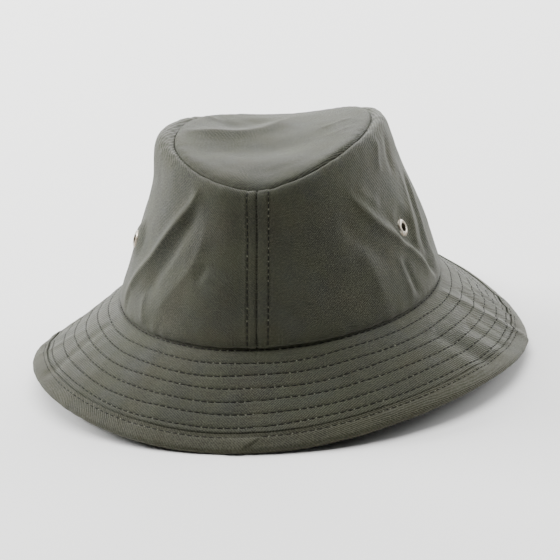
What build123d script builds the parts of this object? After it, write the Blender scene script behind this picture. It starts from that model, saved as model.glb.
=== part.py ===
from build123d import *

import math
import os

# Bucket hat of waxed cotton twill, standing on the edge of its brim.
# Millimetres. +Z is up, -Y is the centre back and +X is the wearer's right. The
# origin is on the surface it stands on, under the middle of its outline.
# Angles go round the crown from the centre back (0) over +X (90) to the centre
# front (180). The right half is made and mirrored about the YZ plane.

# Head opening, measured inside the sweatband
HEAD_WIDTH = 172.0
HEAD_LENGTH = 207.0

# Cloth and the other layers
CLOTH_THICKNESS = 1.0
LINING_THICKNESS = 0.5
BRIM_CLOTH_THICKNESS = 0.9
INTERLINING_THICKNESS = 1.0
BINDING_THICKNESS = 0.6
SWEATBAND_THICKNESS = 1.4
LABEL_THICKNESS = 0.4
LAYER_GAP = 0.3
BRIM_LAYER_GAP = 0.15
SEAM_GAP = 0.4
LAP_GAP = 0.3

# Crown
CROWN_HEIGHT = 84.5
TIP_WIDTH = 109.0
TIP_LENGTH = 153.0
TIP_SADDLE = 7.0
TIP_DOME = 2.5
WALL_BELLY = 3.5
SHOULDER_BULGE = 3.5
SHOULDER_POWER = 10

# Brim
BRIM_WIDTH = 60.5
BRIM_SLOPE = 35.5
BRIM_WAVE = 6.6
BRIM_WAVES = 3
BINDING_WIDTH = 10.0

# Sweatband and size label
SWEATBAND_WIDTH = 30.0
SWEATBAND_START = 1.5
LABEL_WIDTH = 30.0
LABEL_HEIGHT = 18.0
LABEL_CLEAR_OF_BAND = 4.0

# Eyelets: one pair on each side of the crown
EYELET_BORE = 5.0
EYELET_BARREL_WALL = 0.5
EYELET_FLANGE_DIAMETER = 10.0
EYELET_FLANGE_THICKNESS = 0.8
EYELET_ROLL_WIDTH = 0.9
EYELET_SEAT_GAP = 0.1
EYELET_HOLE_CLEARANCE = 0.15
EYELET_CLEAR_OF_BAND = 6.0
EYELET_SPACING = 60.0
WASHER_THICKNESS = 0.4
WASHER_SEAT_GAP = 0.35

# How finely the curved panels are described
SECTION_COUNT = 25
PROFILE_COUNT = 13
DIFFERENCE = 1e-4

# Sizes that follow from the ones above
LINING_DEPTH = CLOTH_THICKNESS + LAYER_GAP
SWEATBAND_DEPTH = LINING_DEPTH + LINING_THICKNESS + LAYER_GAP
LABEL_DEPTH = LINING_DEPTH + LINING_THICKNESS + LAYER_GAP / 2
WALL_STACK = SWEATBAND_DEPTH + SWEATBAND_THICKNESS
BASE_HALF_X = HEAD_WIDTH / 2 + WALL_STACK
BASE_HALF_Y = HEAD_LENGTH / 2 + WALL_STACK
TIP_HALF_X = TIP_WIDTH / 2
TIP_HALF_Y = TIP_LENGTH / 2
INTERLINING_DEPTH = BRIM_CLOTH_THICKNESS + BRIM_LAYER_GAP
UNDER_DEPTH = INTERLINING_DEPTH + INTERLINING_THICKNESS + BRIM_LAYER_GAP
BRIM_STACK = UNDER_DEPTH + BRIM_CLOTH_THICKNESS
NOSE_RADIUS = BRIM_STACK / 2 + BRIM_LAYER_GAP + BINDING_THICKNESS
LAYERS_END = BRIM_WIDTH - NOSE_RADIUS
SECTION_ANGLES = [180.0 * step / (SECTION_COUNT - 1) for step in range(SECTION_COUNT)]


def brim_slope(angle):
    """Slope of the brim below level, in radians. It rises and falls round the hat."""
    wave = BRIM_WAVE * math.cos(math.radians(BRIM_WAVES * angle))
    return math.radians(BRIM_SLOPE + wave)


STEEPEST = math.radians(BRIM_SLOPE + BRIM_WAVE)
EDGE_DROP = LAYERS_END * math.sin(STEEPEST) + BRIM_STACK / 2 * math.cos(STEEPEST)
BASE_Z = EDGE_DROP + NOSE_RADIUS
BACK_REACH = LAYERS_END * math.cos(brim_slope(0)) - BRIM_STACK / 2 * math.sin(brim_slope(0))
FRONT_REACH = LAYERS_END * math.cos(brim_slope(180)) - BRIM_STACK / 2 * math.sin(brim_slope(180))
CENTRE_Y = (BACK_REACH - FRONT_REACH) / 2


def oval_point(half_x, half_y, angle, z):
    """Point on a level oval round the crown's axis."""
    turn = math.radians(angle)
    return Vector(half_x * math.sin(turn), CENTRE_Y - half_y * math.cos(turn), z)


def base_normal(angle):
    """Level direction square to the crown's base oval, pointing away from the head."""
    turn = math.radians(angle)
    return Vector(math.sin(turn) / BASE_HALF_X, -math.cos(turn) / BASE_HALF_Y, 0).normalized()


def tip_height(across, along):
    """Height of the tip's top face over the base, by its place in shares of the tip oval."""
    dome = TIP_DOME * (1 - across**2 - along**2)
    saddle = TIP_SADDLE * (along**2 - across**2)
    return CROWN_HEIGHT + dome - saddle


def wall_face(angle, rise):
    """Point on the outer face of the crown's side, from the base (0) to the tip seam (1)."""
    turn = math.radians(angle)
    base = oval_point(BASE_HALF_X, BASE_HALF_Y, angle, BASE_Z)
    seam_z = BASE_Z + tip_height(math.sin(turn), math.cos(turn))
    seam = oval_point(TIP_HALF_X, TIP_HALF_Y, angle, seam_z)
    shoulder = 4 * (rise**SHOULDER_POWER - rise ** (2 * SHOULDER_POWER))
    swell = WALL_BELLY * math.sin(math.pi * rise) + SHOULDER_BULGE * shoulder
    return base * (1 - rise) + seam * rise + base_normal(angle) * swell


def wall_normal(angle, rise):
    """Unit normal of the crown's side, pointing away from the head."""
    around = wall_face(angle + DIFFERENCE, rise) - wall_face(angle - DIFFERENCE, rise)
    upward = wall_face(angle, rise + DIFFERENCE) - wall_face(angle, rise - DIFFERENCE)
    return around.cross(upward).normalized()


def wall_point(angle, rise, depth):
    """Point at a depth under the outer face of the crown's side."""
    return wall_face(angle, rise) - wall_normal(angle, rise) * depth


def wall_length(angle):
    """Length of the crown's side from base to tip, along the cloth."""
    steps = [wall_face(angle, step / PROFILE_COUNT) for step in range(PROFILE_COUNT + 1)]
    return sum((high - low).length for low, high in zip(steps, steps[1:]))


def brim_point(angle, reach, height):
    """Point on the brim: a reach out from the crown seam and a height off its top face."""
    slope = brim_slope(angle)
    outward = base_normal(angle)
    along = outward * math.cos(slope) - Vector(0, 0, math.sin(slope))
    square = outward * math.sin(slope) + Vector(0, 0, math.cos(slope))
    return oval_point(BASE_HALF_X, BASE_HALF_Y, angle, BASE_Z) + along * reach + square * height


def wall_section(angle, depth, thickness, start, end):
    """Closed outline of one layer of the crown's side, its points closest near the seams."""
    turns = [math.pi * step / (PROFILE_COUNT - 1) for step in range(PROFILE_COUNT)]
    rises = [start + (end - start) * (1 - math.cos(turn)) / 2 for turn in turns]
    outer = [wall_point(angle, rise, depth) for rise in rises]
    inner = [wall_point(angle, rise, depth + thickness) for rise in reversed(rises)]
    return Wire([Spline(*outer), Line(outer[-1], inner[0]), Spline(*inner), Line(inner[-1], outer[0])])


def brim_section(angle, depth, thickness):
    """Closed outline of one layer of the brim at an angle."""
    corners = [
        brim_point(angle, SEAM_GAP, -depth),
        brim_point(angle, LAYERS_END, -depth),
        brim_point(angle, LAYERS_END, -depth - thickness),
        brim_point(angle, SEAM_GAP, -depth - thickness),
    ]
    return Wire.make_polygon(corners, close=True)


def binding_section(angle):
    """Closed outline of the binding folded over the brim's edge at an angle."""
    start = BRIM_WIDTH - BINDING_WIDTH
    middle = -BRIM_STACK / 2
    inner = NOSE_RADIUS - BINDING_THICKNESS

    def place(reach, height):
        return brim_point(angle, reach, middle + height)

    outer_top = place(LAYERS_END, NOSE_RADIUS)
    outer_nose = place(BRIM_WIDTH, 0)
    outer_under = place(LAYERS_END, -NOSE_RADIUS)
    inner_top = place(LAYERS_END, inner)
    inner_nose = place(LAYERS_END + inner, 0)
    inner_under = place(LAYERS_END, -inner)
    edges = [
        Line(place(start, NOSE_RADIUS), outer_top),
        ThreePointArc(outer_top, outer_nose, outer_under),
        Line(outer_under, place(start, -NOSE_RADIUS)),
        Line(place(start, -NOSE_RADIUS), place(start, -inner)),
        Line(place(start, -inner), inner_under),
        ThreePointArc(inner_under, inner_nose, inner_top),
        Line(inner_top, place(start, inner)),
        Line(place(start, inner), place(start, NOSE_RADIUS)),
    ]
    return Wire(edges)


def right_half(section):
    """Panel through the sections from the centre back over the right side to the front."""
    return Solid.make_loft([section(angle) for angle in SECTION_ANGLES])


def left_of(right):
    """Mirror image of a right half."""
    return mirror(right, about=Plane.YZ)


def full_ring(section):
    """Unbroken ring made of a right half and its mirror image."""
    half = right_half(section)
    return half + left_of(half)


def lapped_ring(section):
    """Ring whose two ends meet at the centre back, a lap gap apart."""
    ring = full_ring(section)
    box = ring.bounding_box()
    slit = Box(LAP_GAP, box.size.Y / 2, box.size.Z * 2)
    return ring - Pos(0, box.min.Y, box.center().Z) * slit


def oval_prism(half_x, half_y, low, high):
    """Upright oval block round the crown's axis, between two heights."""
    outline = Pos(0, CENTRE_Y, low) * Ellipse(half_x, half_y)
    return extrude(outline, amount=high - low)


def tip_layer(depth, thickness, edge_gap):
    """Oval saddle panel at a depth under the top face of the tip."""
    half_x = TIP_HALF_X - edge_gap
    half_y = TIP_HALF_Y - edge_gap
    shares = [-1.1 + 0.2 * step for step in range(12)]

    def top_point(across, along):
        height = BASE_Z + tip_height(across, along) - depth
        return Vector(across * TIP_HALF_X, CENTRE_Y + along * TIP_HALF_Y, height)

    rows = [[top_point(across, along) for along in shares] for across in shares]
    top = Face.make_surface_from_array_of_points(rows, tol=0.001)
    block = Solid.extrude(top, Vector(0, 0, -thickness))
    low = BASE_Z + CROWN_HEIGHT - 2 * TIP_SADDLE - depth - 2 * thickness
    high = BASE_Z + CROWN_HEIGHT + 2 * (TIP_SADDLE + TIP_DOME)
    return block & oval_prism(half_x, half_y, low, high)


def eyelet_spots():
    """Angle and rise of each eyelet, by name."""
    band_top = SWEATBAND_START + SWEATBAND_WIDTH
    height = band_top + EYELET_CLEAR_OF_BAND + EYELET_FLANGE_DIAMETER / 2
    rise = height / wall_length(90)
    half_y = BASE_HALF_Y * (1 - rise) + TIP_HALF_Y * rise
    half_turn = math.degrees(math.asin(EYELET_SPACING / 2 / half_y))
    spots = {}
    for side, centre in (("right", 90.0), ("left", -90.0)):
        for place, turn in (("back", -half_turn), ("front", half_turn)):
            spots[f"{side}_{place}"] = (centre + math.copysign(1, centre) * turn, rise)
    return spots


def eyelet_plane(spot):
    """Plane square to an eyelet's axis on the crown's outer face, facing outward."""
    angle, rise = spot
    return Plane(origin=wall_face(angle, rise), z_dir=wall_normal(angle, rise))


BARREL_RADIUS = EYELET_BORE / 2 + EYELET_BARREL_WALL
WASHER_TOP = -(LINING_DEPTH + LINING_THICKNESS + WASHER_SEAT_GAP)
BARREL_END = WASHER_TOP - WASHER_THICKNESS - EYELET_SEAT_GAP


def eyelet_hole(spot):
    """Round tool that punches one eyelet's hole through the crown's layers."""
    radius = BARREL_RADIUS + EYELET_HOLE_CLEARANCE
    return eyelet_plane(spot) * Cylinder(radius, 4 * WALL_STACK)


def punched(panel, side):
    """Panel with the holes for the eyelets on its side."""
    for name, spot in eyelet_spots().items():
        if name.startswith(side):
            panel = panel - eyelet_hole(spot)
    return panel


def eyelet(spot):
    """Brass eyelet: barrel, domed flange outside, rolled rim over the washer inside."""
    bore = EYELET_BORE / 2
    seat = EYELET_SEAT_GAP
    top = seat + EYELET_FLANGE_THICKNESS
    rim = EYELET_FLANGE_DIAMETER / 2
    roll = BARREL_RADIUS + EYELET_ROLL_WIDTH
    with BuildSketch(Plane.XZ) as profile:
        with BuildLine():
            Line((bore, BARREL_END - EYELET_BARREL_WALL), (bore, top))
            ThreePointArc((bore, top), ((bore + rim) / 2, top + seat), (rim, seat))
            Line((rim, seat), (BARREL_RADIUS, seat))
            Line((BARREL_RADIUS, seat), (BARREL_RADIUS, BARREL_END))
            Line((BARREL_RADIUS, BARREL_END), (roll, BARREL_END))
            Line((roll, BARREL_END), (BARREL_RADIUS, BARREL_END - EYELET_BARREL_WALL))
            Line((BARREL_RADIUS, BARREL_END - EYELET_BARREL_WALL), (bore, BARREL_END - EYELET_BARREL_WALL))
        make_face()
    return eyelet_plane(spot) * revolve(profile.sketch, axis=Axis.Z)


def washer(spot):
    """Flat washer under the eyelet's rolled rim, inside the crown."""
    ring = Circle(EYELET_FLANGE_DIAMETER / 2) - Circle(BARREL_RADIUS + EYELET_HOLE_CLEARANCE)
    disc = extrude(ring, amount=-WASHER_THICKNESS)
    return eyelet_plane(spot) * Pos(0, 0, WASHER_TOP) * disc


def crown_pieces():
    """Tip and the two halves of the side, of waxed twill."""
    right = right_half(lambda angle: wall_section(angle, 0, CLOTH_THICKNESS, 0, 1))
    return {
        "crown_tip": tip_layer(0, CLOTH_THICKNESS, 2 * SEAM_GAP),
        "crown_side_right": punched(right, "right"),
        "crown_side_left": punched(left_of(right), "left"),
    }


def lining_pieces():
    """Lining of the tip and of the two halves of the side."""
    start = SWEATBAND_START / wall_length(90)
    end = 1 - 2 * LINING_DEPTH / wall_length(90)
    edge_gap = 2 * SEAM_GAP + LINING_DEPTH + 2 * LINING_THICKNESS

    def section(angle):
        return wall_section(angle, LINING_DEPTH, LINING_THICKNESS, start, end)

    right = right_half(section)
    return {
        "lining_tip": tip_layer(LINING_DEPTH, LINING_THICKNESS, edge_gap),
        "lining_side_right": punched(right, "right"),
        "lining_side_left": punched(left_of(right), "left"),
    }


def brim_pieces():
    """Layers of the brim from the top down, and the binding on its edge."""

    def top(angle):
        return brim_section(angle, 0, BRIM_CLOTH_THICKNESS)

    def interlining(angle):
        return brim_section(angle, INTERLINING_DEPTH, INTERLINING_THICKNESS)

    def under(angle):
        return brim_section(angle, UNDER_DEPTH, BRIM_CLOTH_THICKNESS)

    top_right = right_half(top)
    under_right = right_half(under)
    return {
        "brim_top_right": top_right,
        "brim_top_left": left_of(top_right),
        "brim_interlining": full_ring(interlining),
        "brim_under_right": under_right,
        "brim_under_left": left_of(under_right),
        "brim_binding": lapped_ring(binding_section),
    }


def sweatband():
    """Band round the inside of the head opening, lapped at the centre back."""
    start = SWEATBAND_START / wall_length(90)
    end = start + SWEATBAND_WIDTH / wall_length(90)
    return lapped_ring(lambda angle: wall_section(angle, SWEATBAND_DEPTH, SWEATBAND_THICKNESS, start, end))


def size_label():
    """Blank label sewn to the lining at the centre back, above the sweatband."""
    low = (SWEATBAND_START + SWEATBAND_WIDTH + LABEL_CLEAR_OF_BAND) / wall_length(0)
    high = low + LABEL_HEIGHT / wall_length(0)
    half = right_half(lambda angle: wall_section(angle, LABEL_DEPTH, LABEL_THICKNESS, low, high))
    block = Pos(0, CENTRE_Y - BASE_HALF_Y, BASE_Z) * Box(LABEL_WIDTH, BASE_HALF_Y, 4 * CROWN_HEIGHT)
    return (half + left_of(half)) & block


def eyelet_pieces():
    """Four eyelets and their washers."""
    pieces = {}
    for name, spot in eyelet_spots().items():
        pieces[f"eyelet_{name}"] = eyelet(spot)
        pieces[f"eyelet_washer_{name}"] = washer(spot)
    return pieces


def main():
    """Build every piece and write one STEP file for each."""
    pieces = crown_pieces()
    pieces.update(lining_pieces())
    pieces.update(brim_pieces())
    pieces["sweatband"] = sweatband()
    pieces["size_label"] = size_label()
    pieces.update(eyelet_pieces())
    os.makedirs("parts", exist_ok=True)
    for name, piece in pieces.items():
        export_step(piece, f"parts/{name}.step")


main()
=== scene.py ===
import math

import bpy
import numpy as np
from mathutils import Matrix, Vector, noise


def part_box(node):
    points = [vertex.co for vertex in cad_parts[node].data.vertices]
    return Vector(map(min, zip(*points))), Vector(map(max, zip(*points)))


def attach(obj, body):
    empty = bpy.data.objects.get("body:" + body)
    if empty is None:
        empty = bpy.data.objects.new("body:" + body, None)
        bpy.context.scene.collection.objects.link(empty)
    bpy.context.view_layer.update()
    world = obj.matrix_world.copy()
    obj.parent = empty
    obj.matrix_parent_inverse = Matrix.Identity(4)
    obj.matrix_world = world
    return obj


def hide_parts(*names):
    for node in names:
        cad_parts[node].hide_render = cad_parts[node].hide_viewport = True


# A waxed-cotton bucket hat standing on its brim. Shapes are worked out in millimetres
# in the CAD frame and turned into metres when a mesh is made. Angles go round the
# crown from the centre back (0, at -Y) over the right side (90 degrees, at +X). A rise
# is a share of the way up the crown; a reach is a distance out over the brim.

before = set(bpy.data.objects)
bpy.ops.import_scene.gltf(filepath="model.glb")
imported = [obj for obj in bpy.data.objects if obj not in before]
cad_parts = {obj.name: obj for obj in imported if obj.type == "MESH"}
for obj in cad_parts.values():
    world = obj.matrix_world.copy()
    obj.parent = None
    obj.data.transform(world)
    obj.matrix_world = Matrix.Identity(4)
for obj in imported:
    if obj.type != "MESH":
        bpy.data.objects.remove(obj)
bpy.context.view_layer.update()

MM = 0.001
RNG = np.random.default_rng(7)

# ---------------- sizes from the frame


def box_mm(node):
    """Lowest and highest corner of a CAD node, in millimetres."""
    low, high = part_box(node)
    return np.array(low) / MM, np.array(high) / MM


side_low, side_high = box_mm("crown_side_right")
tip_low, tip_high = box_mm("crown_tip")

SEAM_RIM = 0.3
BASE_X = side_high[0]
BASE_Y = (side_high[1] - side_low[1]) / 2
CENTRE_Y = (side_high[1] + side_low[1]) / 2
BASE_Z = side_low[2] + SEAM_RIM
TIP_X = tip_high[0] + 0.8
TIP_Y = (tip_high[1] - tip_low[1]) / 2 + 0.4
UP = np.array([0.0, 0.0, 1.0])

# Crown
CROWN_HEIGHT = 84.5
TIP_SADDLE = 6.8
TIP_LEAN = 1.6
TIP_SHIFT = 3.0
WALL_BELLY = 3.2
SHOULDER = 4.0
SHOULDER_POWER = 11
BASE_ROLL = 1.9
WALL_SLANT = 98.0
CLOTH = 0.9
LINING = 0.5
TIP_SIZE = 62.0

# Brim
BRIM_WIDTH = 60.5
BRIM_SLOPE = 35.4
BRIM_WAVE = 7.1
BRIM_WAVE_TURN = 7.5
BRIM_SIDE_WAVE = 1.0
BINDING_WIDTH = 10.0
BINDING_EDGE = BRIM_WIDTH - BINDING_WIDTH
BINDING_ROW = 2.0
BRIM_STACK = 2.6
QUILT_START = 9.0
QUILT_PITCH = 7.5
QUILT_ROWS = 6

# Thread
QUILT_STITCH = 4.1
SEAM_STITCH = 3.4
THREAD_RADIUS = 0.27

# Length of a flat cut piece for each radian round the hat
CONE_SPREAD = 98.0


# ---------------- small curve helpers


def smooth(low, high, value):
    """0 below low, 1 above high and an even S-curve between."""
    share = np.clip((value - low) / (high - low), 0, 1)
    return share * share * (3 - 2 * share)


def bell(distance, width, power=2):
    """1 at no distance, falling off to either side over about width."""
    return np.exp(-((np.abs(distance) / width) ** power))


def unit(vectors):
    return vectors / np.linalg.norm(vectors, axis=-1, keepdims=True)


def noise_field(points, size, seed):
    """Smooth noise from -1 to 1 at each point, with features about size millimetres wide."""
    flat = np.asarray(points).reshape(-1, 3) / size + seed * 17.3
    values = [noise.noise(Vector(point)) for point in flat.tolist()]
    return np.array(values).reshape(np.asarray(points).shape[:-1])


def through(points, count=48):
    """Even points on a smooth Catmull-Rom curve through the given ones."""
    points = np.array(points, float)
    ends = np.vstack([2 * points[0] - points[1], points, 2 * points[-1] - points[-2]])
    result = []
    spans = len(points) - 1
    for place in np.linspace(0, spans, count):
        k = min(int(place), spans - 1)
        s = place - k
        a, b, c, d = ends[k : k + 4]
        bend, twist = 2 * a - 5 * b + 4 * c - d, 3 * b - a - 3 * c + d
        result.append(0.5 * (2 * b + (c - a) * s + bend * s**2 + twist * s**3))
    return np.array(result)


def from_line(x, y, line):
    """Signed distance of each (x, y) from a line of points, and its share along the line."""
    best = np.full(x.shape, 1e9)
    sign = np.ones(x.shape)
    along = np.zeros(x.shape)
    for k in range(len(line) - 1):
        start, step = line[k], line[k + 1] - line[k]
        share = ((x - start[0]) * step[0] + (y - start[1]) * step[1]) / (step @ step)
        share = np.clip(share, 0, 1)
        dx = x - start[0] - share * step[0]
        dy = y - start[1] - share * step[1]
        distance = np.hypot(dx, dy)
        nearer = distance < best
        best = np.where(nearer, distance, best)
        sign = np.where(nearer, np.sign(step[0] * dy - step[1] * dx), sign)
        along = np.where(nearer, (k + share) / (len(line) - 1), along)
    return best * sign, along


def fold(x, y, path, height, width, fade=0.25, sharp=None):
    """Height of a fold along a path: a crisp crest if height is positive, else a round valley."""
    distance, along = from_line(x, y, through(path))
    ends = smooth(0, fade, along) * smooth(0, fade, 1 - along)
    power = sharp or (1.5 if height > 0 else 2.0)
    return height * ends * bell(distance, width, power)


# ---------------- base surfaces


def base_oval(turn):
    z = np.full_like(turn, BASE_Z)
    return np.stack([BASE_X * np.sin(turn), CENTRE_Y - BASE_Y * np.cos(turn), z], -1)


def outward(turn):
    level = np.stack([np.sin(turn) / BASE_X, -np.cos(turn) / BASE_Y, np.zeros_like(turn)], -1)
    return unit(level)


def tip_height(across, along):
    """Height of the tip over the crown's base, by its place in shares of the tip oval."""
    level = across**2 - along**2
    saddle = TIP_SADDLE * level - 0.84 * (2 * level**2 - 1) * (across**2 + along**2)
    dip = 1.3 * bell(across, 0.17) * smooth(0.5, 1.0, -along)
    return BASE_Z + CROWN_HEIGHT + saddle + 0.8 * across - TIP_LEAN * along * np.abs(along) - dip


def tip_seam(turn):
    across, along = np.sin(turn), -np.cos(turn)
    x = TIP_X * across + TIP_SHIFT
    return np.stack([x, CENTRE_Y + TIP_Y * along, tip_height(across, along)], -1)


def wall_base(turn, rise):
    """The crown's side without its folds."""
    rise = rise[..., None]
    shoulder = 4 * (np.abs(rise) ** SHOULDER_POWER - np.abs(rise) ** (2 * SHOULDER_POWER))
    belly = WALL_BELLY * np.sin(np.pi * rise)
    roll = BASE_ROLL * (1 - np.exp(-np.abs(rise) * WALL_SLANT / 1.6)) * (1 - smooth(0.0, 0.5, rise))
    out = outward(turn)
    lift = 0.8 * out + 0.6 * UP
    flat = base_oval(turn) * (1 - rise) + tip_seam(turn) * rise
    angle = np.degrees(turn)
    ear = 1 + 0.5 * bell(angle + 100, 36) - 0.7 * smooth(112, 150, np.abs(angle))
    ear = ear[..., None]
    return flat + out * (belly + roll) + lift * (SHOULDER * shoulder * ear)


def brim_slope(turn):
    wave = BRIM_WAVE * np.cos(3 * (turn + math.radians(BRIM_WAVE_TURN)))
    side = BRIM_SIDE_WAVE * np.sin(2 * turn)
    return np.radians(BRIM_SLOPE + wave + side)


def brim_axes(turn):
    """Directions out along the brim and square to it."""
    slope = brim_slope(turn)[..., None]
    out = outward(turn)
    return out * np.cos(slope) - UP * np.sin(slope), out * np.sin(slope) + UP * np.cos(slope)


def brim_base(turn, reach, height=0.0):
    """The brim's top face without its quilting; height is off that face."""
    along, square = brim_axes(turn)
    return base_oval(turn) + along * reach[..., None] + square * np.asarray(height)[..., None]


def normals(surface, first, second, step_first, step_second):
    """Unit normals of surface(first, second), by small differences."""
    a = surface(first + step_first, second) - surface(first - step_first, second)
    b = surface(first, second + step_second) - surface(first, second - step_second)
    return unit(np.cross(a, b))


def wall_normal(turn, rise):
    return normals(wall_base, turn, np.clip(rise, 0.004, 0.996), 1e-4, 1e-4)


def brim_normal(turn, reach):
    return -normals(brim_base, turn, reach, 1e-4, 1e-2)


# ---------------- folds and puckers

# Crown folds: (angle, rise) points from top to bottom, height, width, and strength of the pale crest mark
# (wear and painted highlight)
CROWN_FOLDS = [
    ([(-31, 0.93), (-33, 0.86), (-43, 0.655), (-51.5, 0.44), (-58.5, 0.3), (-64, 0.15),
      (-67, 0.03)], 2.4, 3.4, 1.0),
    ([(-28.5, 0.86), (-35.5, 0.7), (-42, 0.48), (-48, 0.3), (-55, 0.12)], -2.4, 6.5, 0),
    ([(-26, 0.8), (-25, 0.62), (-29, 0.445), (-37, 0.26), (-42.5, 0.095)], 0.7, 4.0, 0.2),
    ([(-21, 0.52), (-23, 0.44), (-25, 0.38)], -0.8, 3.0, 0),
    ([(-34, 0.6), (-39, 0.44), (-47, 0.24)], 0.5, 2.6, 0.15),
    ([(-52, 0.24), (-50, 0.13), (-47, 0.03)], 0.9, 2.4, 0.4),
    ([(-61, 0.2), (-63, 0.1), (-62, 0.0)], -0.7, 2.2, 0),
    ([(44, 0.86), (48, 0.725), (52.5, 0.615), (58.5, 0.5), (65.5, 0.385), (72, 0.25), (77, 0.135),
      (84, 0.0)], 2.3, 3.4, 0.9),
    ([(60, 0.58), (67, 0.44), (73.5, 0.3), (79, 0.15), (86, 0.02)], -1.8, 3.0, 0),
    ([(50, 0.8), (55, 0.7), (62, 0.62)], 0.8, 4.0, 0.15),
    ([(38, 0.7), (43, 0.56), (50, 0.42), (58, 0.28)], -0.9, 5.0, 0),
    ([(60, 0.33), (60.5, 0.27), (61, 0.15), (62.5, 0.0)], 0.8, 2.6, 0.35),
    ([(63, 0.3), (64, 0.185), (65.5, 0.03)], -1.2, 2.2, 0),
    ([(44, 0.5), (45.5, 0.37), (47, 0.225), (48.5, 0.02)], 0.9, 4.6, 0.1),
    ([(88, 0.8), (84, 0.62), (80, 0.47), (76, 0.33), (76, 0.235), (79, 0.1)], 0.8, 2.8, 0.25),
    ([(92, 0.7), (88, 0.55), (84, 0.4), (80.5, 0.27), (81, 0.13)], -1.0, 2.4, 0),
    ([(96, 0.75), (91, 0.56), (87, 0.42), (84, 0.28), (86, 0.14), (90, 0.03)], 0.9, 3.0, 0.2),
    ([(84, 0.93), (80, 0.82), (79, 0.7)], -0.9, 3.4, 0),
    ([(74, 0.95), (70, 0.86), (68, 0.76)], 0.8, 3.0, 0.2),
    ([(150, 0.9), (141, 0.62), (133, 0.35), (128, 0.08)], 2.0, 4.0, 0.6),
    ([(143, 0.88), (134, 0.6), (125, 0.33)], -1.6, 6.0, 0),
    ([(-150, 0.9), (-138, 0.62), (-127, 0.35), (-118, 0.05)], 2.2, 3.6, 0.7),
    ([(-141, 0.88), (-130, 0.6), (-119, 0.33)], -1.8, 6.0, 0),
    ([(178, 0.7), (168, 0.45), (164, 0.2)], 0.9, 5.0, 0.1),
    ([(-100, 0.5), (-104, 0.3), (-110, 0.08)], 1.1, 3.0, 0.3),
]

# Broad swells of the crown's side: angle, rise, spread in degrees, spread in rise, height
CROWN_SWELLS = [
    (-88, 0.9, 22, 0.14, 3.0),
    (-96, 0.2, 20, 0.22, -1.6),
    (95, 0.85, 26, 0.2, 2.4),
    (100, 0.45, 24, 0.25, 2.2),
    (20, 0.45, 16, 0.3, -1.2),
    (-20, 0.4, 14, 0.35, 0.8),
    (150, 0.5, 25, 0.3, -1.5),
    (-150, 0.5, 25, 0.3, 1.2),
]

# Tip creases: (x, y) points in millimetres about the crown's axis, then height, width, strength of the pale
# crest mark (wear and painted highlight) and sharpness
TIP_FOLDS = [
    ([(-52, 5), (-41, -1), (-24, 0), (-11, 3), (1, 14), (9, 34), (18, 58)], 3.0, 8.0, 0.5, 1.5),
    ([(-42, -16), (-20, -24), (0, -26), (20, -18), (40, 2)], -1.6, 12.0, 0, 2.0),
    ([(-36, -34), (-16, -50), (0, -56), (18, -50), (36, -38)], 1.0, 13.0, 0, 2.0),
    ([(-44, 42), (-37, 36), (-29, 29)], 1.0, 3.4, 0.5, 1.6),
    ([(-34, 22), (-18, 28), (-6, 46)], -2.2, 10.0, 0, 2.0),
    ([(48, 12), (38, 6), (27, 0)], 0.5, 2.6, 0.25, 1.6),
    ([(50, -6), (40, -12), (29, -17)], 0.4, 2.6, 0.2, 1.6),
]

# Brim folds: (angle, reach) points, then height, width and strength of the pale crest mark (wear and
# painted highlight)
BRIM_FOLDS = [
    ([(79, 0), (82, 22), (84, 42), (83.5, 62)], 2.2, 4.6, 0.8),
    ([(88, 10), (90, 34), (91, 58)], -1.5, 4.2, 0),
    ([(95, 14), (96, 34), (98, 58)], 0.9, 2.8, 0.2),
    ([(101, 16), (102, 36), (105, 58)], 0.8, 2.8, 0.2),
    ([(98, 20), (99, 36), (101, 56)], -0.7, 2.4, 0),
    ([(107, 10), (110, 34), (114, 60)], 1.0, 4.0, 0.3),
    ([(57, 18), (59.5, 36), (61, 56)], -1.5, 5.5, 0),
    ([(64, 24), (66, 38), (67, 56)], 0.6, 3.6, 0.1),
    ([(69, 26), (71, 40), (72, 54)], -0.9, 3.8, 0),
    ([(76, 24), (77, 40), (77, 54)], -0.6, 2.6, 0),
    ([(-66, 8), (-64, 33), (-62, 60)], -0.8, 4.5, 0),
    ([(-74, 30), (-75, 44), (-76, 58)], 0.7, 2.6, 0.3),
    ([(-81, 34), (-82, 46), (-83, 58)], 0.7, 2.6, 0.3),
    ([(-89, 20), (-91, 38), (-92, 58)], 0.9, 3.4, 0.35),
    ([(-99, 14), (-101, 34), (-103, 58)], -0.8, 4.0, 0),
    ([(-50, 20), (-49, 40), (-48, 60)], 0.5, 5.0, 0.1),
    ([(26, 14), (28, 40), (30, 62)], 0.6, 7.0, 0),
    ([(6, 12), (8, 36), (9, 56)], 0.45, 5.0, 0.15),
    ([(-24, 10), (-25, 36), (-26, 62)], 0.5, 8.0, 0),
    ([(140, 8), (142, 36), (146, 60)], 1.0, 6.0, 0.3),
    ([(-140, 8), (-143, 36), (-146, 60)], 1.0, 6.0, 0.3),
    ([(170, 10), (172, 60)], -0.8, 8.0, 0),
]

MEAN_RADIUS = 88.0
SEAM_ROWS = (4.8, 5.9)


def wall_place(turn, rise):
    """Place on the crown's side in millimetres: round the crown and up the wall."""
    return wrapped(turn) * MEAN_RADIUS, rise * WALL_SLANT


def wall_path(points):
    return [(math.radians(angle) * MEAN_RADIUS, rise * WALL_SLANT) for angle, rise in points]


def seam_distance(turn, rise):
    """Signed distance from the centre-back seam and from the centre-front seam."""
    half_x = BASE_X * (1 - rise) + TIP_X * rise
    back = np.where(np.cos(turn) > 0, half_x * np.sin(turn), 1e3)
    front = np.where(np.cos(turn) < 0, half_x * np.sin(turn), 1e3)
    return back, front


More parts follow.
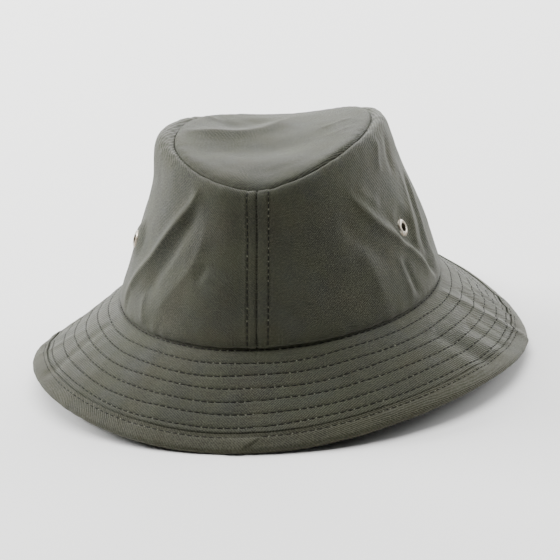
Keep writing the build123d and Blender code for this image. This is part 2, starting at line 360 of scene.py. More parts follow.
def crown_relief(turn, rise, fine=True):
    """How far the crown's cloth stands off its base surface, and how strong its pale crest marks are (wear
    and painted highlight).
    """
    x, y = wall_place(turn, rise)
    relief = np.zeros_like(turn)
    crest_wear_and_highlight = np.zeros_like(turn)
    for path, height, width, mark in CROWN_FOLDS:
        line = wall_path(path)
        if fine or width > 2.5:
            relief += fold(x, y, line, height, width, sharp=None if fine else 2.0)
        if mark and fine:
            crest_wear_and_highlight += fold(x, y, line, mark, 0.95, 0.2, 1.6)
    for angle, middle, spread, tall, height in CROWN_SWELLS:
        apart = (np.degrees(turn) - angle + 180) % 360 - 180
        relief += height * bell(apart, spread) * bell(rise - middle, tall)
    edge = smooth(0, 0.06, rise) * smooth(0, 0.05, 1 - rise)
    relief *= edge
    if fine:
        points = wall_base(turn, rise)
        relief += 0.55 * noise_field(points, 21.0, 1) * edge
        relief += 0.16 * noise_field(points, 7.0, 2)
        near_top = bell((1 - rise) * WALL_SLANT, 9.0)
        pucker = noise_field(points * np.array([1, 1, 0.35]), 4.6, 3)
        relief += 0.38 * pucker * near_top
        near_base = bell(rise * WALL_SLANT, 7.0)
        relief += 0.35 * pucker * near_base
        for distance in seam_distance(turn, rise):
            apart = np.abs(distance)
            relief += 0.45 * (1 - smooth(5.2, 8.0, apart))
            relief -= 1.1 * bell(apart, 0.55)
            for side in (distance + SEAM_ROWS[0], distance - SEAM_ROWS[1]):
                relief -= 0.45 * bell(side, 0.7)
    relief -= bell((1 - rise) * WALL_SLANT, 1.0)
    return relief, crest_wear_and_highlight


EYELET_NODES = [f"eyelet_{side}_{place}" for side in ("right", "left") for place in ("back", "front")]
EYELET_REACH = 13.0
EYELET_HOLE = 3.5


def eyelet_axes():
    """Centre and outward axis of each eyelet, from its CAD mesh."""
    found = []
    for name in EYELET_NODES:
        verts = np.array([v.co[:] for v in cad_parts[name].data.vertices]) / MM
        middle = (verts.min(0) + verts.max(0)) / 2
        spread = verts - verts.mean(0)
        axis = np.linalg.svd(spread, full_matrices=False)[2][2]
        axis = axis * np.sign(axis[0] * middle[0])
        top = ((verts - middle) @ axis).max()
        found.append((middle + axis * (top - 1.0), axis))
    return found


EYELETS = eyelet_axes()


def seat_at_eyelets(points, depth):
    """Move the cloth round each eyelet so that it lies flat under the eyelet's flange."""
    for centre, axis in EYELETS:
        apart = points - centre
        along = apart @ axis
        across = np.linalg.norm(apart - along[..., None] * axis, axis=-1)
        near = 1 - smooth(5.5, EYELET_REACH, across)
        near = np.where(np.abs(along) < 25, near, 0)
        points = points - (near * (along + depth))[..., None] * axis
    return points


def crown_cloth(turn, rise, depth=0.0, fine=True):
    """Points of a layer of the crown's side, at a depth under the outer face."""
    relief, crest_wear_and_highlight = crown_relief(turn, rise, fine)
    points = wall_base(turn, rise) + wall_normal(turn, rise) * (relief - depth)[..., None]
    return seat_at_eyelets(points, depth), crest_wear_and_highlight


EDGE_ROW = 1.2


def wrapped(turn):
    """The same angle between half a turn back and half a turn on."""
    return (turn + math.pi) % (2 * math.pi) - math.pi


def brim_rows():
    return [QUILT_START + QUILT_PITCH * row for row in range(QUILT_ROWS)]


def row_reach(turn, row):
    """Reach of a quilting row round the brim. Rows wander a little, as sewn by hand."""
    wander = 0.5 * np.sin(2 * turn + row * 1.7) + 0.35 * np.sin(5 * turn + row * 2.9)
    wander += 0.3 * np.sin(11 * turn + row * 4.1)
    return row + wander * (1 if row > 5 else 0.3)


def follow_rows(turn, reach):
    """Reaches moved so that the mesh's lines run along the wandering rows of stitches."""
    rows = np.array([-2.0, EDGE_ROW, *brim_rows(), QUILT_START + QUILT_PITCH * QUILT_ROWS + 3])
    moved = np.array([row_reach(turn[0], row) - row for row in rows])
    moved[0] = moved[-1] = 0
    result = reach.copy()
    for column in range(turn.shape[1]):
        result[:, column] += np.interp(reach[:, column], rows, moved[:, column])
    return result


def brim_place(turn, reach):
    return wrapped(turn) * (MEAN_RADIUS + 38.0), reach


def brim_relief(turn, reach, fine=True):
    """How far the brim's top cloth stands off its base surface, and how strong its pale crest marks are
    (wear and painted highlight).
    """
    x, y = brim_place(turn, reach)
    relief = np.zeros_like(turn)
    crest_wear_and_highlight = np.zeros_like(turn)
    for path, height, width, mark in BRIM_FOLDS:
        line = [brim_place(math.radians(angle), float(place)) for angle, place in path]
        grow = 0.4 + 0.6 * reach / BRIM_WIDTH
        relief += fold(x, y, line, height, width, 0.12) * grow
        if mark:
            crest_wear_and_highlight += fold(x, y, line, mark, 0.9, 0.15, 1.6) * grow
    relief *= smooth(0, 10, reach)
    points = brim_base(turn, reach)
    relief += 0.35 * noise_field(points, 24.0, 5) * smooth(0, 12, reach)
    if fine:
        from_binding = reach - BINDING_EDGE
        relief += 0.22 * noise_field(points, 8.0, 6) * (1 - 0.85 * smooth(-7.5, -0.5, from_binding))
        relief -= 0.6 * smooth(-1.2, -0.3, from_binding)
        for row in [EDGE_ROW] + brim_rows():
            relief -= 0.45 * bell(reach - row_reach(turn, row), 0.7, 1.2)
        seam = np.abs(BASE_X * np.sin(turn) * (1 + reach / 95.0))
        relief -= 0.5 * bell(seam, 0.6) * (1 - smooth(4, 8, reach))
        relief += 0.22 * bell(seam, 5.0)
        relief -= 0.7 * bell(reach, 2.2)
    return relief, crest_wear_and_highlight


def brim_cloth(turn, reach, depth=0.0, fine=True):
    relief, crest_wear_and_highlight = brim_relief(turn, reach, fine)
    return brim_base(turn, reach) + brim_normal(turn, reach) * (relief - depth)[..., None], crest_wear_and_highlight


def tip_cloth(across, along, depth=0.0, fine=True):
    """Points of the tip, by shares of its oval, at a depth under its top face."""
    x, y = TIP_X * across + TIP_SHIFT, TIP_Y * along
    relief = np.zeros_like(across)
    crest_wear_and_highlight = np.zeros_like(across)
    for path, height, width, mark, sharp in TIP_FOLDS:
        relief += fold(x, y, path, height, width, 0.3, sharp)
        if mark:
            crest_wear_and_highlight += fold(x, y, path, mark, 1.3, 0.3, 1.4)
    centre = np.sqrt(across**2 + along**2)
    inset = (1 - centre) * TIP_SIZE
    relief *= smooth(0, 9, inset)
    rolled = 3.0 * (1 - np.exp(-np.clip(inset, 0, None) / 5.0)) - bell(inset, 1.0)
    points = np.stack([x, CENTRE_Y + y, tip_height(across, along)], -1)
    if fine:
        relief += 0.3 * noise_field(points, 19.0, 11) * smooth(0, 6, inset)
        relief += 0.12 * noise_field(points, 6.5, 12)
        relief += 0.3 * noise_field(points, 3.8, 13) * bell(inset, 6.0)
    lift = relief + rolled - 1.6 * smooth(0, 14, inset) - depth
    return points + UP * lift[..., None], crest_wear_and_highlight


# ---------------- mesh making


def flat_cone(turn, distance, radius):
    """Place on the flat cut piece that rolls up into a cone, in metres."""
    angle = turn * CONE_SPREAD / radius
    around = radius + distance
    return np.stack([around * np.sin(angle), around * np.cos(angle)], -1) * MM


def mirrored_flat(flat, side):
    """The right-hand piece's pattern turned over, so that its ribs lean the other way."""
    return flat.reshape(-1, 2) * (np.array([-1, 1]) if side == "right" else 1)


def grid_faces(rows, columns):
    index = np.arange(rows * columns).reshape(rows, columns)
    a, b = index[:-1, :-1], index[:-1, 1:]
    c, d = index[1:, 1:], index[1:, :-1]
    return np.stack([a, b, c, d], -1).reshape(-1, 4)


def shell(outer, inner, faces):
    """Closed skin: the outer faces, the same faces on the inner points, and rims between them."""
    count = len(outer)
    edges = np.concatenate([faces[:, [k, (k + 1) % 4]] for k in range(4)])
    keys = edges[:, 0].astype(np.int64) * count + edges[:, 1]
    backward = edges[:, 1].astype(np.int64) * count + edges[:, 0]
    rim = edges[~np.isin(backward, keys)]
    rims = np.stack([rim[:, 1], rim[:, 0], rim[:, 0] + count, rim[:, 1] + count], -1)
    every = np.concatenate([faces, faces[:, ::-1] + count, rims])
    return np.concatenate([outer, inner]), every


def above_floor(points):
    """Points with any that would dip under the floor laid on it instead."""
    height = points[:, 2]
    lifted = 0.05 + 0.95 * np.exp((height - 1.0) / 0.95)
    points = points.copy()
    points[:, 2] = np.where(height < 1.0, lifted, height)
    return points


def add_object(name, mesh, material=None):
    piece = bpy.data.objects.new(name, mesh)
    bpy.context.scene.collection.objects.link(piece)
    if material:
        mesh.materials.append(material)
    return piece


def make_mesh(name, points, faces, material):
    """Smooth mesh object, riding the hat, from points in millimetres."""
    mesh = bpy.data.meshes.new(name)
    mesh.from_pydata((points * MM).tolist(), [], faces)
    mesh.shade_smooth()
    piece = add_object(name, mesh, material)
    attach(piece, "root")
    return piece


def cloth_piece(name, outer, inner, faces, material, flat, crest_wear_and_highlight=None):
    """Closed cloth between two layers of points, with its flat pattern and its pale crest marks (wear and
    painted highlight).
    """
    points, faces = shell(outer.reshape(-1, 3), inner.reshape(-1, 3), faces)
    used = np.unique(faces)
    renumber = np.zeros(len(points), int)
    renumber[used] = np.arange(len(used))
    piece = make_mesh(name, above_floor(points[used]), renumber[faces].tolist(), material)
    mesh = piece.data
    mesh.update()
    loops = np.zeros(len(mesh.loops), int)
    mesh.loops.foreach_get("vertex_index", loops)
    flat = np.tile(flat.reshape(-1, 2), (2, 1))
    layer = mesh.uv_layers.new(name="flat_pattern")
    layer.data.foreach_set("uv", flat[used][loops].astype(np.float32).ravel())
    marks = np.zeros(len(points))
    if crest_wear_and_highlight is not None:
        marks[: crest_wear_and_highlight.size] = crest_wear_and_highlight.ravel()
    values = np.clip(marks[used], 0, 1.5).astype(np.float32)
    mesh.attributes.new("crest_wear_and_highlight", "FLOAT", "POINT").data.foreach_set("value", values)
    mesh.set_sharp_from_angle(angle=math.radians(50))
    return piece


def stand_for(node):
    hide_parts(node)


def cut_holes(points, faces, hole_radius):
    """Drop the faces over each eyelet's axis and round off the edge that is left."""
    for centre, axis in EYELETS:
        apart = points - centre
        along = apart @ axis
        across_vector = apart - along[:, None] * axis
        across = np.linalg.norm(across_vector, axis=-1)
        near = np.abs(along) < 12
        gone = ((across < hole_radius) & near)[faces].any(axis=1)
        edge = np.intersect1d(faces[gone], faces[~gone])
        edge = edge[near[edge]]
        points[edge] += across_vector[edge] * (hole_radius / across[edge] - 1)[:, None]
        faces = faces[~gone]
    return points, faces


def stitches(rows, radius, length_share, sink, sides=5, rings=5):
    """Points and faces of stitches: short arched threads whose ends dive into the cloth."""
    points, walls, caps = [], [], []
    count = 0
    for centres, tangents, ups, pitch in rows:
        half = pitch * length_share / 2
        side_ways = unit(np.cross(ups, tangents))
        for ring in range(rings):
            share = -1 + 2 * ring / (rings - 1)
            swell = radius * math.sqrt(max(0.0, 1.02 - share**2)) ** 0.6
            middle = centres + tangents * (half * share) - ups * (sink + radius * 1.4 * share**4)
            for side in range(sides):
                turn = 2 * math.pi * side / sides
                round_it = side_ways * (swell * math.cos(turn)) + ups * (swell * math.sin(turn))
                points.append(middle + round_it)
        index = count + np.arange(rings * sides * len(centres)).reshape(rings, sides, -1)
        count += index.size
        for ring, side in np.ndindex(rings - 1, sides):
            after = (side + 1) % sides
            quad = [index[ring, side], index[ring, after], index[ring + 1, after], index[ring + 1, side]]
            walls.append(np.stack(quad, -1))
        caps += [index[0, ::-1].T, index[-1].T]
    return np.concatenate(points), np.concatenate(walls).tolist() + np.concatenate(caps).tolist()


def stitch_row(curve, ups, pitch, phase=0.0):
    """Even stitches along a curve of points: their centres, directions, ups and pitch."""
    steps = np.linalg.norm(np.diff(curve, axis=0), axis=1)
    lengths = np.concatenate([[0], np.cumsum(steps)])
    number = max(1, int(round(lengths[-1] / pitch)))
    real = lengths[-1] / number
    middles = (np.arange(number) + 0.5 + phase) * real
    middles = middles[middles < lengths[-1]]

    def at(places, values):
        return np.stack([np.interp(places, lengths, values[:, k]) for k in range(3)], -1)

    centres = at(middles, curve)
    after, before = np.minimum(middles + 0.4, lengths[-1]), np.maximum(middles - 0.4, 0)
    tangents = unit(at(after, curve) - at(before, curve))
    return centres, tangents, unit(at(middles, ups)), real


def thread_piece(name, rows, radius, length_share, sink):
    points, faces = stitches(rows, radius, length_share, sink)
    return make_mesh(name, above_floor(points), faces, dark_thread)


# ---------------- materials


class Look:
    """A material in the making: its nodes, its links and its surface shader."""

    def __init__(self, name):
        self.material = bpy.data.materials.new(name)
        self.material.use_nodes = True
        self.nodes = self.material.node_tree.nodes
        self.links = self.material.node_tree.links
        self.surface = self.nodes["Principled BSDF"]

    def fill(self, node, inputs):
        """Join each named input to a socket, or set it to a number, a vector or a colour."""
        for key, value in inputs.items():
            if isinstance(value, bpy.types.NodeSocket):
                self.links.new(value, node.inputs[key])
            elif node.inputs[key].type == "RGBA":
                node.inputs[key].default_value = (*value, 1.0)
            else:
                node.inputs[key].default_value = value

    def node(self, kind, inputs=None, **settings):
        node = self.nodes.new("ShaderNode" + kind)
        for key, value in settings.items():
            setattr(node, key, value)
        self.fill(node, inputs or {})
        return node

    def flat(self):
        """Coordinates on the flat cut piece, in metres."""
        return self.node("UVMap", uv_map="flat_pattern").outputs["UV"]

    def place(self):
        return self.node("TexCoord").outputs["Object"]

    def shifted(self, vector, distance):
        """The same coordinates moved aside, so that two noises of them differ."""
        inputs = {0: vector, 1: (distance, distance, distance)}
        return self.node("VectorMath", inputs, operation="ADD").outputs["Vector"]

    def noise(self, vector, scale, detail=3.0, roughness=0.55):
        inputs = {"Vector": vector, "Scale": scale, "Detail": detail, "Roughness": roughness}
        return self.node("TexNoise", inputs).outputs["Fac"]

    def bands(self, vector, pitch, direction="X", **inputs):
        """Soft bands across the coordinates, one every pitch."""
        inputs = {key.replace("_", " "): value for key, value in inputs.items()}
        inputs.update({"Vector": vector, "Scale": 2 * math.pi / (20 * pitch)})
        node = self.node("TexWave", inputs, wave_type="BANDS", bands_direction=direction)
        return node.outputs["Fac"]

    def ramp(self, value, low, high, to_low=0.0, to_high=1.0):
        inputs = {"Value": value, "From Min": low, "From Max": high, "To Min": to_low, "To Max": to_high}
        return self.node("MapRange", inputs).outputs["Result"]

    def mix(self, factor, first, second):
        """Mix of two colours, each a colour or a socket."""
        return self.node("Mix", {0: factor, 6: first, 7: second}, data_type="RGBA").outputs[2]

    def bump(self, height, strength, distance, below=None):
        inputs = {"Height": height, "Strength": strength, "Distance": distance}
        if below:
            inputs["Normal"] = below
        return self.node("Bump", inputs).outputs["Normal"]

    def finish(self, colour, roughness, normal, others):
        """Fill in the surface shader and give the finished material."""
        self.fill(self.surface, {"Base Color": colour, "Roughness": roughness, "Normal": normal, **others})
        return self.material


TWILL_PITCH = 1.06 * MM
TWILL_WORN = (0.100, 0.103, 0.070)
TWILL_BROWN = (0.0255, 0.0213, 0.0092)
TWILL_GREY = (0.0175, 0.0208, 0.0212)
# Pale colour along fold crests: partly wax worn off there, partly a painted highlight of light catching the
# crests.
CREST_WEAR_HIGHLIGHT_COLOUR = (0.15, 0.15, 0.12)


def waxed_twill(name, dark, mid, roughness):
    """Waxed cotton twill: diagonal ribs, patchy wax, and pale marks along the fold crests, partly wax worn
    off there and partly painted highlight.
    """
    look = Look(name)
    flat, place = look.flat(), look.place()
    turned = look.node("Mapping", {"Vector": flat, "Rotation": (0, 0, math.radians(45))})
    ribs = look.bands(turned.outputs["Vector"], TWILL_PITCH, Distortion=2.0, Detail=1.0, Detail_Scale=0.6)
    yarn = look.noise(flat, 1000.0, 3.0, 0.75)
    patch = look.noise(place, 42.0, 6.0, 0.68)
    cloud = look.noise(place, 11.0, 2.0, 0.5)
    speck = look.noise(place, 700.0, 2.0, 0.5)
    tan = look.noise(look.shifted(place, 3.1), 52.0)
    chalk = look.noise(look.shifted(place, 7.7), 44.0)
    # Per-point strength of the pale crest marks: wear and painted highlight.
    crest_wear_and_highlight = look.node("Attribute", attribute_name="crest_wear_and_highlight").outputs["Fac"]
    colour = look.mix(look.ramp(patch, 0.40, 0.60), dark, mid)
    for value, low, high, most, tint in (
        (cloud, 0.35, 0.7, 0.35, mid),
        (tan, 0.5, 0.72, 0.55, TWILL_BROWN),
        (chalk, 0.5, 0.72, 0.5, TWILL_GREY),
        (ribs, 0.15, 0.95, 0.25, TWILL_WORN),
        (yarn, 0.45, 0.62, 0.42, TWILL_WORN),
        (speck, 0.7, 0.82, 0.4, TWILL_WORN),
        (crest_wear_and_highlight, 0.1, 1.0, 0.5, CREST_WEAR_HIGHLIGHT_COLOUR),
    ):
        colour = look.mix(look.ramp(value, low, high, 0.0, most), colour, tint)
    weave = look.node("Math", {0: yarn, 1: 0.5, 2: ribs}, operation="MULTIPLY_ADD")
    normal = look.bump(weave.outputs["Value"], 0.75, 0.3 * MM)
    normal = look.bump(look.noise(place, 150.0, 4.0, 0.6), 0.3, 0.6 * MM, normal)
    rough = look.ramp(patch, 0.3, 0.7, roughness - 0.06, roughness + 0.08)
    sheen = {"Sheen Weight": 0.1, "Sheen Roughness": 0.42, "Sheen Tint": (1.0, 1.0, 0.93)}
    return look.finish(colour, rough, normal, {"Specular IOR Level": 0.2, **sheen})


def plain_cloth(name, first, second, pitch, roughness):
    """Plain weave for linings and tapes: crossed fine ribs with painted shade in the gaps between them, and
    a little mottling.
    """
    look = Look(name)
    flat, place = look.flat(), look.place()
    across, along = (look.bands(flat, pitch, direction, Distortion=0.4) for direction in "XY")
    weave = look.node("Math", {0: across, 1: along}, operation="ADD").outputs["Value"]
    patch = look.noise(place, 60.0, 3.0, 0.6)
    colour = look.mix(look.ramp(patch, 0.3, 0.7), first, second)
    # Gaps between the crossed ribs are darkened: painted shade between the yarns.
    colour = look.mix(look.ramp(weave, 0.2, 2.0, 0.25, 0.0), colour, (0.01, 0.01, 0.01))
    rough = look.ramp(patch, 0.3, 0.7, roughness - 0.05, roughness + 0.05)
    normal = look.bump(weave, 0.45, 0.12 * MM)
    return look.finish(colour, rough, normal, {"Sheen Weight": 0.15, "Specular IOR Level": 0.25})


def thread_material(name, colour, roughness):
    """Twisted sewing thread."""
    look = Look(name)
    place = look.place()
    dark = tuple(0.55 * value for value in colour)
    colour = look.mix(look.ramp(look.noise(place, 900.0, 2.0, 0.5), 0.35, 0.65), dark, colour)
    twist = look.bands(place, 0.35 * MM, "DIAGONAL")
    return look.finish(colour, roughness, look.bump(twist, 0.4, 0.08 * MM), {"Specular IOR Level": 0.15})


def aged_nickel():
    """Nickel-plated brass with patches of brown stain, rougher where stained."""
    look = Look("aged_nickel")
    stain = look.noise(look.place(), 300.0, 4.0, 0.65)
    colour = look.mix(look.ramp(stain, 0.42, 0.68), (0.34, 0.32, 0.27), (0.13, 0.09, 0.05))
    rough = look.ramp(stain, 0.35, 0.7, 0.26, 0.55)
    return look.finish(colour, rough, look.bump(stain, 0.25, 0.1 * MM), {"Metallic": 1.0})


twill = waxed_twill("waxed_twill", (0.0062, 0.0066, 0.0028), (0.0225, 0.0243, 0.0120), 0.66)
binding_twill = waxed_twill("binding_twill", (0.016, 0.0152, 0.0072), (0.030, 0.029, 0.016), 0.68)
lining_cotton = plain_cloth("lining_cotton", (0.022, 0.024, 0.016), (0.034, 0.036, 0.025), 0.5 * MM, 0.8)
interlining_cloth = plain_cloth("interlining_cloth", (0.55, 0.54, 0.5), (0.62, 0.61, 0.57), 0.6 * MM, 0.9)
sweatband_cotton = plain_cloth(
    "sweatband_cotton", (0.014, 0.014, 0.012), (0.024, 0.024, 0.02), 0.6 * MM, 0.85
)
label_tape = plain_cloth("label_tape", (0.62, 0.6, 0.54), (0.7, 0.68, 0.62), 0.4 * MM, 0.6)
dark_thread = thread_material("dark_thread", (0.006, 0.0058, 0.0035), 0.6)
# Pale thread for the needle-hole dots: bobbin thread, whose pale colour also serves as painted glints.
bobbin_thread_and_glint = thread_material("bobbin_thread_and_glint", (0.20, 0.20, 0.15), 0.5)
nickel = aged_nickel()

# ---------------- sample places

GRID = 1.25
CLOSEST = 0.12


def even(low, high, step):
    return np.linspace(low, high, max(2, int(math.ceil((high - low) / step)) + 1))


def with_extra(values, extra):
    """Sorted places with more of them near the ones named, and none too close together."""
    merged = np.unique(np.concatenate([values, extra]))
    merged = merged[(merged >= values[0]) & (merged <= values[-1])]
    keep = [merged[0]]
    for value in merged[1:]:
        if value - keep[-1] > CLOSEST:
            keep.append(value)
    keep[-1] = merged[-1]
    return np.array(keep)


def around_half(side, step, radius, near_seams=()):
    """Angles of a half panel in radians, from the centre back to the centre front."""
    half = math.pi * radius
    places = even(0, half, step)
    if near_seams:
        places = with_extra(places, np.array([*near_seams, *(half - place for place in near_seams)]))
    angles = places / radius
    return angles if side == "right" else -angles[::-1]


def follow_seams(turn, rise):
    """Angles moved so that the mesh's lines near the seams stay a set distance from them."""
    place = np.abs(turn) * MEAN_RADIUS
    length = math.pi * MEAN_RADIUS
    result = np.abs(turn).copy()
    half_x = BASE_X * (1 - rise) + TIP_X * rise
    for front in (False, True):
        distance = length - place if front else place
        share = 1 - smooth(9, 32, distance)
        near = np.arcsin(np.clip(distance, 0, 40) / half_x)
        near = math.pi - near if front else near
        result += share * (near - np.abs(turn))
    return result * (1 if turn.max() > 1 else -1)


SEAM_PLACES = (0.0, 0.3, 0.6, 0.9, 1.3, 2.0, 4.3, 4.8, 5.35, 5.9, 6.4, 7.5)
WALL_EDGE_PLACES = [0.0, 0.5, 1.0, 1.6, 2.4, 94.5, 95.6, 96.4, 97.0, 97.5, 98.0]
TIP_EDGE_PLACES = np.array([0.0, 0.4, 0.8, 1.3, 2.0, 3.0, 4.2])

# ---------------- the crown

SIDE_CONE = 262.0
LINING_DEPTH = CLOTH + 0.8
BAND_DEPTH = CLOTH + LINING + 1.1
BAND_START = 1.2
BAND_HEIGHT = 30.0
BAND_PAD = 1.3
LABEL_RADIUS = 74.0


def crown_side(side):
    rises = with_extra(even(0, WALL_SLANT, GRID), np.array(WALL_EDGE_PLACES)) / WALL_SLANT
    turn, rise = np.meshgrid(around_half(side, GRID, MEAN_RADIUS, SEAM_PLACES), rises)
    turn = follow_seams(turn, rise)
    outer, crest_wear_and_highlight = crown_cloth(turn, rise)
    thickness = (wall_normal(turn, rise) * CLOTH).reshape(-1, 3)
    outer, faces = cut_holes(outer.reshape(-1, 3), grid_faces(*turn.shape), EYELET_HOLE)
    flat = mirrored_flat(flat_cone(turn, -rise * WALL_SLANT, SIDE_CONE), side)
    piece = cloth_piece(f"crown_side_cloth_{side}", outer, outer - thickness, faces, twill, flat, crest_wear_and_highlight)
    stand_for(f"crown_side_{side}")


def tip_disc(count, radii):
    """Shares across and along for rings of points on an oval, and the faces between them."""
    turns = np.linspace(0, 2 * math.pi, count, endpoint=False)
    turn, radius = np.meshgrid(turns, radii)
    across = np.concatenate([[0.0], (radius * np.sin(turn)).ravel()])
    along = np.concatenate([[0.0], (-radius * np.cos(turn)).ravel()])
    index = 1 + np.arange(len(radii) * count).reshape(len(radii), count)
    after = np.roll(index, -1, axis=1)
    quads = np.stack([index[:-1], index[1:], after[1:], after[:-1]], -1).reshape(-1, 4)
    fan = np.stack([np.zeros(count // 2, int), index[0][0::2], after[0][0::2], after[0][1::2]], -1)
    return across, along, np.concatenate([fan, quads])[:, ::-1]


def tip_panel(name, material, depth, thickness, inset, count, radii, fine):
    across, along, faces = tip_disc(count, radii)
    across, along = across * (TIP_X - inset) / TIP_X, along * (TIP_Y - inset) / TIP_Y
    top, crest_wear_and_highlight = tip_cloth(across, along, depth, fine)
    flat = np.stack([across * TIP_X, along * TIP_Y], -1) * MM
    return cloth_piece(name, top, top - UP * thickness, faces, material, flat, crest_wear_and_highlight)


def crown():
    for side in ("right", "left"):
        crown_side(side)
    edge = np.unique(1 - TIP_EDGE_PLACES / TIP_SIZE)
    radii = np.linspace(0, 1, 45)[1:]
    radii = np.concatenate([radii[radii < edge[0]], edge])
    tip = tip_panel("crown_tip_cloth", twill, 0.0, CLOTH, 0.25, 300, radii, True)
    stand_for("crown_tip")


def inner_layer(name, turn, rise, depth, thickness, material, flat):
    """A layer inside the crown's cloth, without the cloth's fine creases."""
    outer, _ = crown_cloth(turn, rise, depth, False)
    inner = outer - wall_normal(turn, rise) * thickness
    return cloth_piece(name, outer, inner, grid_faces(*turn.shape), material, flat)


def lining():
    for side in ("right", "left"):
        rises = even(1.5, WALL_SLANT - 3.0, 3.0) / WALL_SLANT
        turn, rise = np.meshgrid(around_half(side, 3.0, MEAN_RADIUS), rises)
        flat = flat_cone(turn, -rise * WALL_SLANT, SIDE_CONE)
        name = f"lining_side_cloth_{side}"
        piece = inner_layer(name, turn, rise, LINING_DEPTH, LINING, lining_cotton, flat)
        stand_for(f"lining_side_{side}")
    radii = np.linspace(0, 1, 21)[1:]
    piece = tip_panel("lining_tip_cloth", lining_cotton, LINING_DEPTH + 0.3, LINING, 2.6, 120, radii, False)
    stand_for("lining_tip")


def sweatband():
    turns = even(0.15, 2 * math.pi * MEAN_RADIUS - 0.15, 3.0) / MEAN_RADIUS
    places = with_extra(even(BAND_START, BAND_START + BAND_HEIGHT, 3.0), np.array([1.6, 2.2, 30.0, 30.6]))
    turn, rise = np.meshgrid(turns, places / WALL_SLANT)
    share = (rise * WALL_SLANT - BAND_START) / BAND_HEIGHT
    thickness = 0.25 + BAND_PAD * (1 - np.clip(np.abs(2 * share - 1), 0, 1) ** 6) ** 0.5
    flat = np.stack([turn * MEAN_RADIUS, rise * WALL_SLANT], -1) * MM
    thick = thickness[..., None]
    piece = inner_layer("sweatband_cloth", turn, rise, BAND_DEPTH, thick, sweatband_cotton, flat)
    stand_for("sweatband")


def label():
    rises = even(35.0, 53.0, 1.5) / WALL_SLANT
    turn, rise = np.meshgrid(even(-15, 15, 1.5) / LABEL_RADIUS, rises)
    flat = np.stack([turn * LABEL_RADIUS, rise * WALL_SLANT], -1) * MM
    piece = inner_layer("size_label_tape", turn, rise, CLOTH + LINING + 1.0, 0.35, label_tape, flat)
    stand_for("size_label")


# ---------------- the brim

BRIM_CONE = 120.0
BRIM_CLOTH = 0.8
UNDER_DEPTH = 1.75
LAYER_END = BRIM_WIDTH - 2.4
BINDING_RADIUS = MEAN_RADIUS + 45
BINDING_PUCKER = 0.2
BINDING_INSIDE = 0.25
ROW_PLACES = (-1.2, -0.7, -0.35, 0, 0.35, 0.7, 1.2)
TUCK_PLACES = (-1.2, -0.9, -0.6, -0.3)


def brim_panel(name, node, side, depth, thickness, material, fine, step, start):
    extra = [start]
    if fine:
        extra = [row + place for row in (EDGE_ROW, *brim_rows()) for place in ROW_PLACES]
        extra += [BINDING_EDGE + place for place in TUCK_PLACES]
    reaches = with_extra(even(start, LAYER_END, step), np.array(extra))
    turns = around_half(side, step, MEAN_RADIUS + 25, SEAM_PLACES if fine else ())
    turn, reach = np.meshgrid(turns, reaches)
    if fine:
        reach = follow_rows(turn, reach)
    outer, crest_wear_and_highlight = brim_cloth(turn, reach, depth, fine)
    inner = outer - brim_normal(turn, reach) * thickness
    faces = grid_faces(*turn.shape)[:, ::-1]
    flat = mirrored_flat(flat_cone(turn, reach, BRIM_CONE), side)
    piece = cloth_piece(name, outer, inner, faces, material, flat, crest_wear_and_highlight)
    stand_for(node)


def lap_step(turn, reach):
    """Rise of the binding's upper end over the lower one, along its slanted lap."""
    degree = 1.9
    angle = np.degrees(turn)
    line = np.array([(-3.4 * degree, 62.0), (2.6 * degree, 51.0)])
    distance, _ = from_line(angle * degree, reach, line)
    step = smooth(-0.35, 0.25, -distance) * (1 - smooth(6, 22, -distance))
    return 0.8 * step * (np.abs(angle) < 25) * (0.2 + 0.8 * smooth(51, 57, reach))


def binding():
    """Bias strip folded over the edge: round the nose from its top inner edge to the lower one."""
    nose = BRIM_STACK / 2 + 0.35
    middle = -BRIM_STACK / 2 - 0.1
    half = math.pi * nose / 2
    edge = BINDING_WIDTH - nose + half
    ends = np.array([7.2, 7.9, 8.6, 9.9])
    around = with_extra(even(-edge, edge, 1.0), np.concatenate([-ends, ends]))
    fine_turns = even(-14, 26, 0.35)
    coarse = even(26, 2 * math.pi * BINDING_RADIUS - 14, 1.3)[1:]
    turn, place = np.meshgrid(np.concatenate([fine_turns, coarse]) / BINDING_RADIUS, around)
    curve = np.clip(place / nose, -math.pi / 2, math.pi / 2)
    reach = BRIM_WIDTH - nose + nose * np.cos(curve) - np.clip(np.abs(place) - half, 0, None)
    height = middle - nose * np.sin(curve)
    relief, crest_wear_and_highlight = brim_relief(turn, np.minimum(reach, LAYER_END), False)
    base = brim_base(turn, reach)
    from_edge = edge - np.abs(place)
    stitched = bell(from_edge - BINDING_ROW, 0.9, 1.3)
    tuck = bell(from_edge, 0.7)
    thick = 0.45 + BINDING_PUCKER * noise_field(base, 5.5, 21) - 0.5 * stitched - 0.1 * tuck
    thick = thick + np.where(place < 0, lap_step(turn, reach), 0)
    along, _ = brim_axes(turn)
    up = brim_normal(turn, reach)
    facing = up * np.sin(-curve)[..., None] + along * np.cos(curve)[..., None]
    points = brim_base(turn, reach, height) + up * relief[..., None]
    rows, columns = turn.shape
    join = np.arange(rows) * columns
    seam = np.stack([join[:-1] + columns - 1, join[:-1], join[1:], join[1:] + columns - 1], -1)
    faces = np.concatenate([grid_faces(rows, columns), seam])[:, ::-1]
    flat = np.stack([turn * BINDING_RADIUS, place], -1) * MM
    outer, inner = points + facing * thick[..., None], points - facing * BINDING_INSIDE
    piece = cloth_piece("brim_binding_cloth", outer, inner, faces, binding_twill, flat, crest_wear_and_highlight)
    stand_for("brim_binding")


